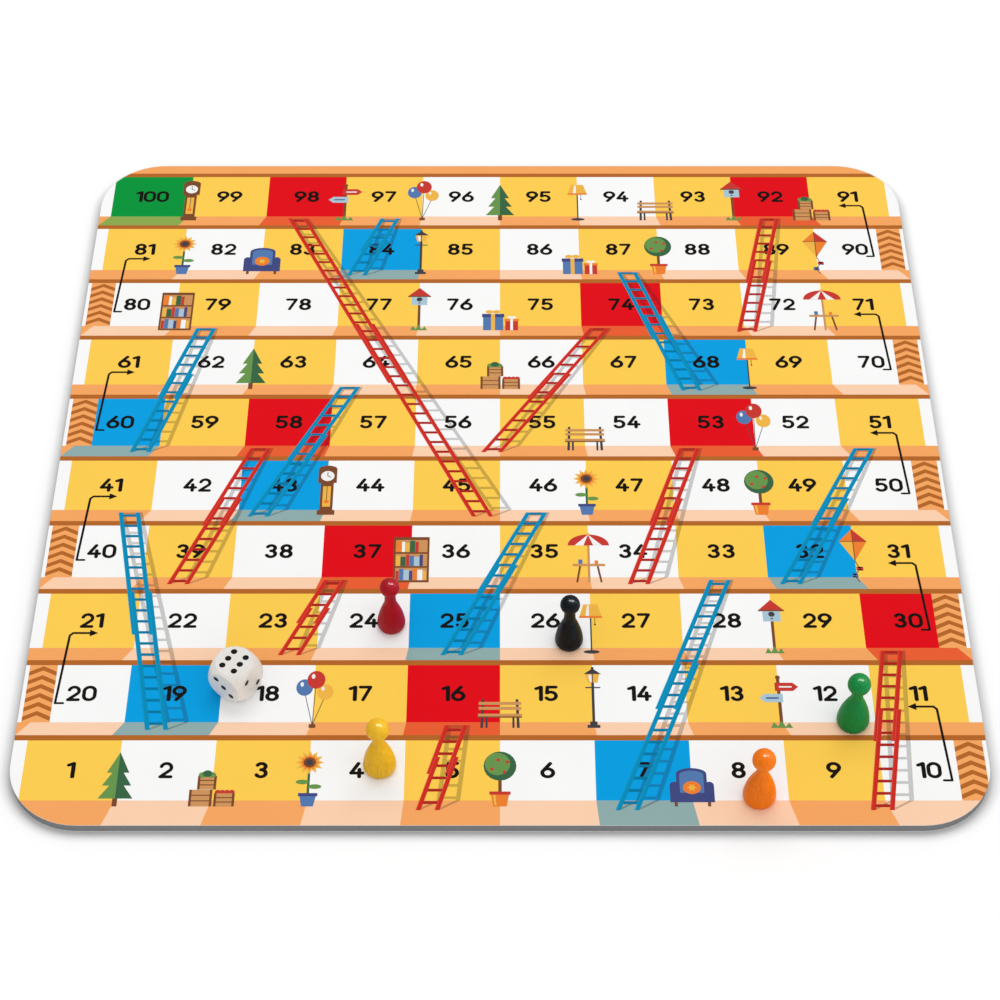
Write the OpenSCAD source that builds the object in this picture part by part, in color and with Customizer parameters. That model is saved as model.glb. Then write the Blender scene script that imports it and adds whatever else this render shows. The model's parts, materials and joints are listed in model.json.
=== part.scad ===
// Snakes and ladders board with five turned pawns and a die, in millimetres.
// The origin is on the table under the middle of the board. +X runs along row one
// towards square ten, +Y runs from row one to row ten, and +Z is up.

/* [Board] */
// Length of each side of the square board
board_w = 360; // [300:1:450]
// Radius of the rounded corners of the board
corner_r = 27; // [5:0.5:40]
// Thickness of the grey board inside
core_t = 3.55; // [1.5:0.05:6]
// Thickness of the liner paper glued underneath
liner_t = 0.2; // [0.1:0.05:0.5]
// Thickness of the printed sheet glued on top
sheet_t = 0.25; // [0.15:0.05:0.6]
// Depth of the print in the top sheet
ink_t = 0.1; // [0.05:0.01:0.12]
// Height of the ladders, numbers and arrows printed over it
overprint_t = 0.05; // [0.03:0.01:0.1]

/* [Playing field] */
// White margin left and right of the squares
side_margin = 5; // [2:0.5:10]
// Depth of the floor in front of row one
front_floor = 10.7; // [6:0.1:16]
// Depth of the floor in front of each other row
row_floor = 5.9; // [3:0.1:8]
// Width of the brown line behind each row
ledge_w = 2.4; // [1:0.1:4]
// Depth of the plain band along the back edge
back_band = 5.2; // [3:0.1:10]

/* [Ladders] */
// Width of a ladder from outside to outside
ladder_w = 8.6; // [5:0.1:11]
// Width of one ladder rail
rail_w = 1.8; // [0.6:0.1:2.4]
// Thickness of one rung
rung_h = 1.2; // [0.4:0.1:1.8]
// Distance from rung to rung
rung_pitch = 5.4; // [3:0.1:9]
// Sideways step between the two sections of a ladder
section_step = 1; // [0.2:0.1:1.4]

/* [Numbers and arrows] */
// Height of a digit
digit_h = 7.2; // [5:0.1:9]
// Width of a digit
digit_w = 5.1; // [4:0.1:6]
// Thickness of a digit's stroke
digit_stroke = 1.3; // [0.6:0.05:1.6]
// Space between two digits
digit_gap = 0.8; // [0.4:0.1:1.6]
// Thickness of the line of a turn arrow
arrow_line = 0.9; // [0.4:0.05:1.2]
// Length of the head of a turn arrow
arrow_head = 3.2; // [2:0.1:4]
// Length of the short foot of a turn arrow
arrow_foot = 3; // [1:0.1:3.5]
// Lean of a turn arrow towards the middle of the board
arrow_lean = 1.8; // [0:0.1:4]
// Size of the cut corner where a turn arrow bends
arrow_bend = 1.2; // [0.5:0.1:2.5]
// Length of the level part of a turn arrow, with its head
arrow_run = 10.8; // [6:0.1:12]
// Space between a ramp on the left and the line of its turn arrow
arrow_gap = 0.55; // [0.2:0.05:1.2]
// How far the turn arrows stand left of where mirrored ones would be
arrow_shift = 0.8; // [0:0.1:1]

/* [Ramps at the row ends] */
// Width of a ramp
ramp_w = 10.5; // [6:0.1:12]
// Distance from the side of the board to a ramp
ramp_inset = 1.5; // [0.5:0.1:3]
// Rise of a chevron on the ramp
chevron_rise = 2.6; // [1:0.1:4]
// Thickness of a chevron
chevron_t = 2; // [1:0.1:3]
// Distance from chevron to chevron
chevron_pitch = 4.2; // [3.2:0.1:7]

/* [Pawns] */
// Largest diameter of the three stout pawns
pawn_d = 12.2; // [10:0.1:16]
// Largest diameter of the two slender pawns
slim_pawn_d = 10.8; // [9:0.1:14]
// Height of a stout pawn
pawn_h = 27.5; // [24:0.1:34]
// Height of a slender pawn
slim_pawn_h = 26.5; // [24:0.1:34]
// Diameter of the ball of a stout pawn
pawn_head_d = 8.5; // [6.5:0.1:10]
// Diameter of the ball of a slender pawn
slim_head_d = 7.5; // [6:0.1:9]
// Diameter of the neck
pawn_neck_d = 4.1; // [3:0.1:5]
// Radius of the rounding at the foot
foot_round_r = 4; // [3:0.1:4.4]
// Height of the middle of that rounding
foot_round_z = 2.2; // [1:0.1:2.9]
// Radius of the long curve from foot to neck
flank_r = 28; // [20:0.5:40]

/* [Die] */
// Edge length of the die
die_w = 15.5; // [12:0.5:20]
// Diameter of the ball that rounds its corners
die_ball_d = 20.7; // [18:0.1:22]
// Diameter of a pip
pip_d = 2.4; // [1.5:0.1:3]
// Depth of a pip's hollow
pip_depth = 0.4; // [0.2:0.05:0.8]
// Thickness of the paint in a pip
pip_paint_t = 0.28; // [0.1:0.02:0.3]
// Distance of an outer pip from the middle of its face
pip_offset = 3.1; // [2.4:0.1:4]
// Turn of the die on the board, in degrees
die_turn = -32; // [-90:1:90]

/* [Hidden] */
$fn = 48;

// Colours
grey_board = "#767778";
white_paper = "#F6F6F4";
yellow_ink = "#FECE52";
red_ink = "#E20515";
blue_ink = "#009FE2";
green_ink = "#00963C";
orange_ink = "#F6A762";
peach_ink = "#FCD1B0";
coral_ink = "#EB5F32";
teal_ink = "#8FADAC";
olive_ink = "#8CAA50";
brown_ink = "#B56729";
black_ink = "#191614";
ladder_blue_ink = "#008CB9";
ladder_red_ink = "#CD2B21";
red_lacquer = "#AA1423";
black_lacquer = "#1E2326";
yellow_lacquer = "#E1AF2D";
green_lacquer = "#1E7D3C";
orange_lacquer = "#E66E19";
ivory_plastic = "#E1DEDA";

// Heights of the layers
sheet_z = liner_t + core_t;
top_z = sheet_z + sheet_t;
ink_z = top_z - ink_t;
overrun = 1;

// The field of ten rows of ten squares
columns = 10;
rows = 10;
field_w = board_w - 2*side_margin;
square_w = field_w/columns;
wall_h = (board_w - front_floor - back_band - rows*ledge_w - (rows - 1)*row_floor)/rows;
row_pitch = wall_h + ledge_w + row_floor;
// The edges between the floors run outwards, to the corners of the board
floor_spread_share = board_w/field_w;

// Ladders as [foot column, foot row, head column, head row], counted in squares from
// the left edge of the field and in rows from the front of the first wall
blue_ladder_shares = [
    [6.32, -0.12, 7.49, 2.96], [1.35, 0.9, 0.78, 3.96], [4.47, 1.9, 5.45, 3.96],
    [8.25, 2.9, 9.3, 4.96], [2.23, 3.9, 3.23, 5.96], [0.78, 4.9, 1.42, 6.96],
    [7.3, 5.9, 6.62, 7.96], [3.2, 7.9, 3.62, 8.96]
];
red_ladder_shares = [
    [4.25, -0.12, 4.56, 0.96], [8.96, -0.12, 9.3, 1.96], [2.7, 1.9, 3.18, 2.96],
    [6.55, 2.9, 7.25, 4.96], [1.4, 2.9, 2.22, 4.96], [4.9, 4.9, 6.25, 6.96],
    [8.03, 6.9, 8.48, 8.96], [4.8, 3.9, 2.43, 8.96]
];
// The square where a blue ladder stands is blue, and the one where a red ladder leads is red
blue_squares = [for (ends = blue_ladder_shares) square_number(floor(ends[0]), ceil(ends[1]))];
red_squares = [for (ends = red_ladder_shares) square_number(floor(ends[2]), ceil(ends[3]))];
last_square = columns*rows;
// Where the lower section of a ladder ends and the upper one begins, along its length
lower_end_share = 0.62;
upper_start_share = 0.42;

// Strokes of the digits. A point is [across, up, up]: a share of the width, then shares of
// the height and of the width that are added. A bow is [centre, radius, from, to] in degrees.
digit_bar_shares = [
    [[[0, 0, 0.5], [0, 1, -0.5]], [[1, 0, 0.5], [1, 1, -0.5]]],
    [[[1, 0, 0], [1, 1, 0]], [[1, 1, 0], [0, 1, -0.5]]],
    [[[0.878, 1, -0.776], [0, 0, 0]], [[0, 0, 0], [1, 0, 0]]],
    [],
    [[[0.62, 1, 0], [0, 0.28, 0]], [[0, 0.28, 0], [1, 0.28, 0]], [[0.72, 0.55, 0], [0.72, 0, 0]]],
    [[[0.16, 1, 0], [0.92, 1, 0]], [[0.16, 1, 0], [0.11, 0.52, 0]]],
    [[[0.1, 0, 0.69], [0.72, 1, 0]]],
    [[[0, 1, 0], [1, 1, 0]], [[1, 1, 0], [0.3, 0, 0]]],
    [],
    [[[0.9, 1, -0.69], [0.28, 0, 0]]]
];
digit_bow_shares = [
    [[[0.5, 0, 0.5], 0.5, 180, 360], [[0.5, 1, -0.5], 0.5, 0, 180]],
    [],
    [[[0.5, 1, -0.48], 0.48, -38, 165]],
    [[[0.47, 1, -0.36], 0.36, -90, 155], [[0.47, 0, 0.405], 0.405, -155, 90]],
    [],
    [[[0.46, 0, 0.47], 0.47, -148, 127]],
    [[[0.5, 0, 0.46], 0.46, 0, 360]],
    [],
    [[[0.5, 1, -0.36], 0.36, 0, 360], [[0.5, 0, 0.405], 0.405, 0, 360]],
    [[[0.5, 1, -0.46], 0.46, 0, 360]]
];
// Each digit is widened about its middle
digit_widening_shares = [1.07, 1.2, 1.02, 1.14, 1.1, 1.09, 1.14, 1, 1.19, 1.15];
// A one is narrower than the other digits
one_width_share = 0.54;
// Heights of the two ends of a turn arrow above the front of their walls
arrow_start_share = 0.33;
arrow_end_share = 0.27;
// Largest step in degrees between the corners of a wedge, and a full turn
wedge_step = 45;
full_turn = 360;

// Places of the pawns and the die as [column, row], counted as for the ladders
pawn_red_share = [3.806, 2.32];
pawn_black_share = [5.754, 2.083];
pawn_yellow_share = [3.74, 0.423];
pawn_green_share = [8.754, 1.003];
pawn_orange_share = [7.691, 0.043];
die_share = [2.168, 1.478];

// The long curve of a pawn's flank starts this many degrees above the level
flank_turn = 5;

// Clearance between the paint and the wall of a pip
pip_clearance = 0.05;
// The six has its two rows closer together and its pips further apart along them
six_gap_share = 0.86;
six_pitch_share = 1.2;
// Faces of the die as [count of pips, turns that lead from the top to the face]
die_faces = [
    [6, [0, 0, 0]], [1, [180, 0, 0]], [3, [90, 0, 0]],
    [4, [-90, 0, 0]], [2, [90, 0, 90]], [5, [90, 0, -90]]
];

// Number of the square in a column and row, which runs back and forth up the board
function square_number(column, row) =
    row % 2 == 0 ? row*columns + column + 1 : (row + 1)*columns - column;

function is_in(value, list) = len([for (item = list) if (item == value) item]) > 0;

function square_kind(number) =
    is_in(number, blue_squares) ? "blue" :
    is_in(number, red_squares) ? "red" :
    number == last_square ? "green" :
    number % 2 == 1 ? "yellow" : "white";

function square_x(column) = -field_w/2 + column*square_w;
function wall_y(row) = -board_w/2 + front_floor + row*row_pitch;
function floor_depth(row) = row == 0 ? front_floor : row_floor;

// A point given in squares and rows
function field_point(column_share, row_share) = [
    square_x(column_share), wall_y(0) + row_share*row_pitch
];

module board_outline() {
    inner = board_w/2 - corner_r;
    square([board_w, 2*inner], center = true);
    square([2*inner, board_w], center = true);
    for (x = [-inner, inner], y = [-inner, inner])
        translate([x, y]) circle(r = corner_r);
}

// A flat piece of the printed layer, cut off at the outline of the board
module print_layer(z, thickness) {
    translate([0, 0, z]) linear_extrude(thickness) intersection() {
        union() children();
        board_outline();
    }
}

module walls(kind) {
    for (row = [0 : rows - 1], column = [0 : columns - 1])
        if (square_kind(square_number(column, row)) == kind)
            translate([square_x(column), wall_y(row)]) square([square_w, wall_h]);
}

module floor_piece(left, right, row) {
    depth = floor_depth(row);
    translate([0, wall_y(row) - depth]) polygon([
        [left*floor_spread_share, 0], [right*floor_spread_share, 0], [right, depth], [left, depth]
    ]);
}

module floors(kind) {
    for (row = [0 : rows - 1], column = [0 : columns - 1])
        if (square_kind(square_number(column, row)) == kind)
            floor_piece(square_x(column), square_x(column + 1), row);
}

// The floor beside the outer squares narrows to a point at the edge of the board
module margin_floors() {
    for (row = [1 : rows - 1], side = [-1, 1])
        translate([0, wall_y(row) - row_floor]) polygon([
            [side*field_w/2, row_floor], [side*board_w/2, row_floor], [side*board_w/2, 0]
        ]);
}

module back_strip() {
    translate([-board_w/2, board_w/2 - back_band]) square([board_w, back_band]);
}

module ledges() {
    for (row = [0 : rows - 1])
        translate([-board_w/2, wall_y(row) + wall_h]) square([board_w, ledge_w]);
}

// The paper that stays bare: white squares and the side margins
module bare_paper() {
    walls("white");
    for (row = [0 : rows - 1], side = [-1, 1])
        translate([side*(board_w + field_w)/4 - side_margin/2, wall_y(row)])
            square([side_margin, wall_h]);
}

module backing_sheet() {
    color(white_paper) linear_extrude(liner_t) board_outline();
}

module board_core() {
    color(grey_board) translate([0, 0, liner_t]) linear_extrude(core_t) board_outline();
}

module face_sheet() {
    color(white_paper) union() {
        translate([0, 0, sheet_z]) linear_extrude(sheet_t - ink_t) board_outline();
        print_layer(ink_z, ink_t) bare_paper();
    }
}

module squares_yellow() { color(yellow_ink) print_layer(ink_z, ink_t) walls("yellow"); }
module squares_red() { color(red_ink) print_layer(ink_z, ink_t) walls("red"); }
module squares_blue() { color(blue_ink) print_layer(ink_z, ink_t) walls("blue"); }
module square_green() { color(green_ink) print_layer(ink_z, ink_t) walls("green"); }

module floor_orange() {
    color(orange_ink) print_layer(ink_z, ink_t) {
        floors("yellow");
        margin_floors();
        back_strip();
    }
}

module floor_peach() { color(peach_ink) print_layer(ink_z, ink_t) floors("white"); }
module floor_coral() { color(coral_ink) print_layer(ink_z, ink_t) floors("red"); }
module floor_teal() { color(teal_ink) print_layer(ink_z, ink_t) floors("blue"); }
module floor_olive() { color(olive_ink) print_layer(ink_z, ink_t) floors("green"); }
module ledge_lines() { color(brown_ink) print_layer(ink_z, ink_t) ledges(); }

// Everything at the row ends is drawn for the left side and mirrored for the right one.
// The path turns right at the end of an even row and left at the end of an odd one.
module at_row_ends() {
    for (row = [0 : rows - 2])
        mirror([row % 2 == 0 ? 1 : 0, 0]) translate([-board_w/2, wall_y(row)]) children();
}

module ramp() { translate([ramp_inset, 0]) square([ramp_w, wall_h]); }

// Chevrons fill the ramp from its foot, as many as there is room for
module chevrons() {
    count = floor((wall_h - chevron_rise - chevron_t)/chevron_pitch) + 1;
    spare = wall_h - chevron_rise - chevron_t - (count - 1)*chevron_pitch;
    for (step = [0 : count - 1])
        translate([ramp_inset + ramp_w/2, spare/2 + step*chevron_pitch]) polygon([
            [-ramp_w/2, 0], [0, chevron_rise], [ramp_w/2, 0],
            [ramp_w/2, chevron_t], [0, chevron_rise + chevron_t], [-ramp_w/2, chevron_t]
        ]);
}

module ramp_panels() {
    color(orange_ink) print_layer(top_z, overprint_t) at_row_ends() difference() {
        ramp();
        chevrons();
    }
}

module ramp_chevrons() {
    color(brown_ink) print_layer(top_z, overprint_t) at_row_ends() chevrons();
}

// A ring sector with square ends, about the origin
module bow(radius, width, from, to) {
    reach = 2*(radius + width);
    steps = ceil((to - from)/wedge_step);
    intersection() {
        difference() {
            circle(r = radius + width/2);
            circle(r = radius - width/2);
        }
        if (to - from < full_turn)
            polygon([[0, 0], for (step = [0 : steps])
                reach*[cos(from + (to - from)*step/steps), sin(from + (to - from)*step/steps)]]);
        else
            circle(r = reach);
    }
}

// A straight line from one point to another, with round ends
module stroke(from, to, width) {
    run = to - from;
    translate(from) rotate(atan2(run[1], run[0])) {
        translate([0, -width/2]) square([norm(run), width]);
        circle(d = width);
        translate([norm(run), 0]) circle(d = width);
    }
}

// The arrow leaves the lower row, leans up beside the ramp and bends into the next row
module turn_arrow() {
    low = arrow_start_share*wall_h;
    high = row_pitch + arrow_end_share*wall_h;
    foot_x = ramp_inset + ramp_w + arrow_gap + arrow_shift + arrow_line/2;
    top_x = foot_x + arrow_lean;
    neck_x = top_x + arrow_run - arrow_head;
    points = [
        [foot_x + arrow_foot, low], [foot_x, low], [top_x, high - arrow_bend],
        [top_x + arrow_bend, high], [neck_x, high]
    ];
    for (i = [1 : len(points) - 1]) stroke(points[i - 1], points[i], arrow_line);
    translate([neck_x, high])
        polygon([[0, -arrow_head/2], [arrow_head, 0], [0, arrow_head/2]]);
}

module turn_arrows() {
    color(black_ink) print_layer(top_z, overprint_t)
        translate([-arrow_shift, 0]) at_row_ends() turn_arrow();
}

// A round stroke of a digit, with round ends
module round_stroke(centre, radius, from, to) {
    translate(centre) {
        bow(radius, digit_stroke, from, to);
        if (to - from < full_turn)
            for (end = [from, to])
                translate(radius*[cos(end), sin(end)]) circle(d = digit_stroke);
    }
}

function digit_width(digit) = digit == 1 ? digit_w*one_width_share : digit_w;

module digit_shape(digit) {
    across = digit_width(digit) - digit_stroke;
    up = digit_h - digit_stroke;
    function place(shares) = [
        across*shares[0] + digit_stroke/2, up*shares[1] + across*shares[2] + digit_stroke/2
    ];
    translate([digit_width(digit)/2, 0]) scale([digit_widening_shares[digit], 1])
        translate([-digit_width(digit)/2, 0]) {
            for (bar = digit_bar_shares[digit])
                stroke(place(bar[0]), place(bar[1]), digit_stroke);
            for (arc = digit_bow_shares[digit])
                round_stroke(place(arc[0]), arc[1]*across, arc[2], arc[3]);
        }
}

function digits_of(number) =
    number < 10 ? [number] : concat(digits_of(floor(number/10)), [number % 10]);

function run_length(digits, count) =
    count == 0 ? 0 : run_length(digits, count - 1) + digit_width(digits[count - 1]) + digit_gap;

module number_shape(number) {
    digits = digits_of(number);
    total = run_length(digits, len(digits)) - digit_gap;
    for (i = [0 : len(digits) - 1])
        translate([run_length(digits, i) - total/2, -digit_h/2]) digit_shape(digits[i]);
}

// Each number stands in the middle of its square, and a ladder hides what it crosses
module numbers() {
    color(black_ink) print_layer(top_z, overprint_t) difference() {
        for (row = [0 : rows - 1], column = [0 : columns - 1])
            translate([square_x(column) + square_w/2, wall_y(row) + wall_h/2])
                number_shape(square_number(column, row));
        ladder_shapes(blue_ladder_shares);
        ladder_shapes(red_ladder_shares);
    }
}

// The two leaning rails of one section of a ladder
module ladder_rails(foot, head) {
    for (left = [-ladder_w/2, ladder_w/2 - rail_w])
        polygon([
            foot + [left, 0], foot + [left + rail_w, 0], head + [left + rail_w, 0], head + [left, 0]
        ]);
}

// A ladder of two sections that overlap, the upper one a step to the left. The rungs are
// level and evenly spaced, and where both sections run they reach across both.
module ladder(foot, head) {
    rise = head[1] - foot[1];
    count = floor(rise/rung_pitch);
    spare = rise - count*rung_pitch;
    ladder_rails(foot, foot + (head - foot)*lower_end_share);
    translate([-section_step, 0])
        ladder_rails(foot + (head - foot)*upper_start_share, head);
    for (rung = [0 : count]) {
        up = min(spare/2 + rung*rung_pitch, rise - rung_h);
        share = up/rise;
        left = share < upper_start_share ? 0 : section_step;
        right = share > lower_end_share ? section_step : 0;
        translate([foot[0] + (head[0] - foot[0])*share - ladder_w/2 + rail_w/2 - left, foot[1] + up])
            square([ladder_w - rail_w + left - right, rung_h]);
    }
}

module ladder_shapes(table) {
    for (ends = table)
        ladder(field_point(ends[0], ends[1]), field_point(ends[2], ends[3]));
}

module ladders_blue() {
    color(ladder_blue_ink) print_layer(top_z, overprint_t) ladder_shapes(blue_ladder_shares);
}

module ladders_red() {
    color(ladder_red_ink) print_layer(top_z, overprint_t) ladder_shapes(red_ladder_shares);
}

// What stands on the print, at a place given in squares and rows
module on_square(place_share) {
    place = field_point(place_share[0], place_share[1]);
    translate([place[0], place[1], top_z]) children();
}

// A turned pawn. Its foot is a rounded bulge, one long curve leads from there up to the
// neck, and a ball sits on the neck.
module pawn(place_share, body_d, head_d, height) {
    bulge_x = body_d/2 - foot_round_r;
    turn_z = foot_round_z + foot_round_r*sin(flank_turn);
    flank_x = bulge_x - (flank_r - foot_round_r)*cos(flank_turn);
    flank_z = foot_round_z - (flank_r - foot_round_r)*sin(flank_turn);
    neck_r = pawn_neck_d/2;
    neck_z = flank_z + sqrt(flank_r*flank_r - (neck_r - flank_x)*(neck_r - flank_x));
    ball_z = height - head_d/2;
    on_square(place_share) rotate_extrude() {
        intersection() {
            square([body_d, turn_z]);
            union() {
                square([bulge_x, turn_z]);
                translate([bulge_x, foot_round_z]) circle(r = foot_round_r);
            }
        }
        intersection() {
            translate([0, turn_z]) square([body_d, neck_z - turn_z]);
            translate([flank_x, flank_z]) circle(r = flank_r);
        }
        translate([0, turn_z]) square([neck_r, ball_z - turn_z]);
        intersection() {
            translate([0, ball_z]) circle(d = head_d);
            translate([0, ball_z - head_d]) square([head_d, 2*head_d]);
        }
    }
}

module slim_pawn(place_share) {
    pawn(place_share, slim_pawn_d, slim_head_d, slim_pawn_h);
}

module stout_pawn(place_share) {
    pawn(place_share, pawn_d, pawn_head_d, pawn_h);
}

module pawn_red() { color(red_lacquer) slim_pawn(pawn_red_share); }
module pawn_black() { color(black_lacquer) slim_pawn(pawn_black_share); }
module pawn_yellow() { color(yellow_lacquer) stout_pawn(pawn_yellow_share); }
module pawn_green() { color(green_lacquer) stout_pawn(pawn_green_share); }
module pawn_orange() { color(orange_lacquer) stout_pawn(pawn_orange_share); }

// Places of the pips on a face, by count
function pip_places(count) =
    count == 6
        ? [for (x = [-1, 1], y = [-1, 0, 1])
            pip_offset*[x*six_gap_share, y*six_pitch_share]]
        : concat(
            count % 2 == 1 ? [[0, 0]] : [],
            count > 1 ? pip_offset*[[-1, 1], [1, -1]] : [],
            count > 3 ? pip_offset*[[1, 1], [-1, -1]] : []
        );

module at_pips() {
    for (face = die_faces, place = pip_places(face[0]))
        rotate(face[1]) translate([place[0], place[1], die_w/2]) children();
}

module place_die() {
    on_square(die_share) translate([0, 0, die_w/2]) rotate(die_turn) children();
}

module die_body() {
    color(ivory_plastic) place_die() difference() {
        intersection() {
            cube(die_w, center = true);
            sphere(d = die_ball_d);
        }
        at_pips() translate([0, 0, -pip_depth]) cylinder(d = pip_d, h = pip_depth + overrun);
    }
}

// Paint on the floor of each hollow
module die_pips() {
    color(black_ink) place_die() at_pips()
        translate([0, 0, -pip_depth]) cylinder(d = pip_d - 2*pip_clearance, h = pip_paint_t);
}

backing_sheet();
board_core();
face_sheet();
squares_yellow();
squares_red();
squares_blue();
square_green();
floor_orange();
floor_peach();
floor_coral();
floor_teal();
floor_olive();
ledge_lines();
ramp_panels();
ramp_chevrons();
turn_arrows();
numbers();
ladders_blue();
ladders_red();
pawn_red();
pawn_black();
pawn_yellow();
pawn_green();
pawn_orange();
die_body();
die_pips();
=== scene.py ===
"""Looks of a snakes and ladders board with five pawns and a die, in metres, around its CAD part."""

import json
import math

import bmesh
import bpy
from mathutils import Matrix, Vector

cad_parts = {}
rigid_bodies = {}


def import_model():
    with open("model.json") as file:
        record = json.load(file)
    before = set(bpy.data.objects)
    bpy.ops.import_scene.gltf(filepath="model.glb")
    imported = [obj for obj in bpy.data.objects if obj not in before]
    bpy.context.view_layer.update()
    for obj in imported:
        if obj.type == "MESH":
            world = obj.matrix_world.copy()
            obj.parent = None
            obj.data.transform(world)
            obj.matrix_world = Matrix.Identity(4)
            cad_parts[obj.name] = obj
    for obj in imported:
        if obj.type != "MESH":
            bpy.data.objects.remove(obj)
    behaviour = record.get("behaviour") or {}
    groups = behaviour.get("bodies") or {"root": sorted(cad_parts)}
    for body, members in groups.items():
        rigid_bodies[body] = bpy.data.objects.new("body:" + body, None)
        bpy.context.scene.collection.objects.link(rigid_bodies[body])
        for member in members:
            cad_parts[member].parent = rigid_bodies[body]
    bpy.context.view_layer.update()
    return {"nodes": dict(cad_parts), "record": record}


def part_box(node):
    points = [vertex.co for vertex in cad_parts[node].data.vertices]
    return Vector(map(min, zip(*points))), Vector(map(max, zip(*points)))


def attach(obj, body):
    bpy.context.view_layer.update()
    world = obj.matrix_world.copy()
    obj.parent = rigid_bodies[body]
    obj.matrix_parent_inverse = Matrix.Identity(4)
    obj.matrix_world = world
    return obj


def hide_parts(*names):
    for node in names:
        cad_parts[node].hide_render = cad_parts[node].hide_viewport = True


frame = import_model()

bl_info = {
    "name": "Board game looks",
    "version": (1, 0, 0),
    "blender": (4, 5, 0),
    "location": "3D View > Sidebar > Board game",
    "description": "Printed board, lacquered pawns and a die around a packed CAD part",
    "category": "Object",
}

MM = 0.001
SLOT_COLOUR = {entry["slot"]: entry["base_color"] for entry in frame["record"]["materials"]}
NODE_SLOT = {entry["node"]: entry["material_slot"] for entry in frame["record"]["subparts"]}

# The printed field: the print's face is as high as the top sheet
BOARD_LOW, BOARD_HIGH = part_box("face_sheet")
PRINT_Z = BOARD_HIGH.z
COLUMNS = 10
FRONT_FLOOR = 10.7 * MM
SIDE_MARGIN = 5 * MM
SQUARE_W = (BOARD_HIGH.x - BOARD_LOW.x - 2 * SIDE_MARGIN) / COLUMNS
ROW_PITCH = 35 * MM

# Ladders as foot column, foot row, head column and head row, counted in squares
BLUE_LADDERS = [
    (6.32, -0.12, 7.49, 2.96), (1.35, 0.9, 0.78, 3.96), (4.47, 1.9, 5.45, 3.96),
    (8.25, 2.9, 9.3, 4.96), (2.23, 3.9, 3.23, 5.96), (0.78, 4.9, 1.42, 6.96),
    (7.3, 5.9, 6.62, 7.96), (3.2, 7.9, 3.62, 8.96),
]
RED_LADDERS = [
    (4.25, -0.12, 4.56, 0.96), (8.96, -0.12, 9.3, 1.96), (2.7, 1.9, 3.18, 2.96),
    (6.55, 2.9, 7.25, 4.96), (1.4, 2.9, 2.22, 4.96), (4.9, 4.9, 6.25, 6.96),
    (8.03, 6.9, 8.48, 8.96), (4.8, 3.9, 2.43, 8.96),
]
# Shares of a ladder's run where its lower section ends and its upper one starts
LOWER_END, UPPER_START = 0.62, 0.42
# Heights of the ladders' trim and of their shades, and how thick each is printed
LADDER_Z, SHADE_Z = PRINT_Z + 0.05 * MM, PRINT_Z + 0.008 * MM
RUNG_THICK, LINE_THICK, SHADE_THICK = 0.02 * MM, 0.03 * MM, 0.006 * MM

# Faces of the die: count of pips, and the turns about X, Y and Z that lead from the top to it
DIE_FACES = [
    (6, (0, 0, 0)), (1, (180, 0, 0)), (3, (90, 0, 0)),
    (4, (-90, 0, 0)), (2, (90, 0, 90)), (5, (90, 0, -90)),
]


def linear(*rgb):
    """A colour written in 0 to 255, as the shader wants it."""
    return tuple(
        c / 255 / 12.92 if c / 255 <= 0.04045 else ((c / 255 + 0.055) / 1.055) ** 2.4 for c in rgb
    )


# Sizes and colours

def length(name, millimetres, description):
    return bpy.props.FloatProperty(
        name=name, description=description, default=millimetres * MM, min=0, unit="LENGTH",
        precision=5,
    )


def share(name, value, description):
    return bpy.props.FloatProperty(
        name=name, description=description, default=value, min=0, subtype="FACTOR", soft_max=1
    )


def number(name, value, description):
    return bpy.props.FloatProperty(name=name, description=description, default=value, min=0)


def angle(name, degrees, description):
    return bpy.props.FloatProperty(
        name=name, description=description, default=math.radians(degrees), unit="ROTATION"
    )


def colour(name, value, description):
    return bpy.props.FloatVectorProperty(
        name=name, description=description, default=value, min=0, max=1, size=3, subtype="COLOR"
    )


class PrintLooks(bpy.types.PropertyGroup):
    """Paper, board and ink."""

    fibre: length("Fibre size", 0.35, "Size of the paper's fine texture")
    fibre_depth: length("Fibre depth", 0.006, "Depth of the paper's fine texture")
    mottle: share("Mottle", 0.03, "How much the ink's density varies")
    varnish: share("Varnish roughness", 0.46, "Roughness of the varnished print")
    shine: share("Varnish shine", 0.07, "Strength of the varnish's reflection")
    ply: length("Ply", 0.22, "Thickness of one ply in the grey board's cut edge")


class LadderLooks(bpy.types.PropertyGroup):
    """Printed ladders."""

    width: length("Width", 8.6, "Width of a ladder from outside to outside")
    rail: length("Rail", 1.8, "Width of one rail")
    rung: length("Rung", 1.2, "Thickness of one rung")
    pitch: length("Pitch", 5.4, "Distance from rung to rung")
    step: length("Step", 1.0, "Sideways step between the two sections")
    lit_line: length("Lit line", 0.4, "Width of the light line along a rail")
    shade_lean: length("Shade lean", 7.5, "How far the printed shade falls to the right")
    shade_rail: length("Shade rail", 1.7, "Width of a rail's printed shade")
    shade: share("Shade", 0.12, "Darkness of the printed shade")
    blue_rung: colour("Blue rung", linear(0, 120, 162), "Rungs of the blue ladders")
    red_rung: colour("Red rung", linear(172, 34, 30), "Rungs of the red ladders")
    blue_line: colour("Blue line", linear(14, 152, 196), "Light line on the blue rails")
    red_line: colour("Red line", linear(222, 68, 54), "Light line on the red rails")


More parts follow.
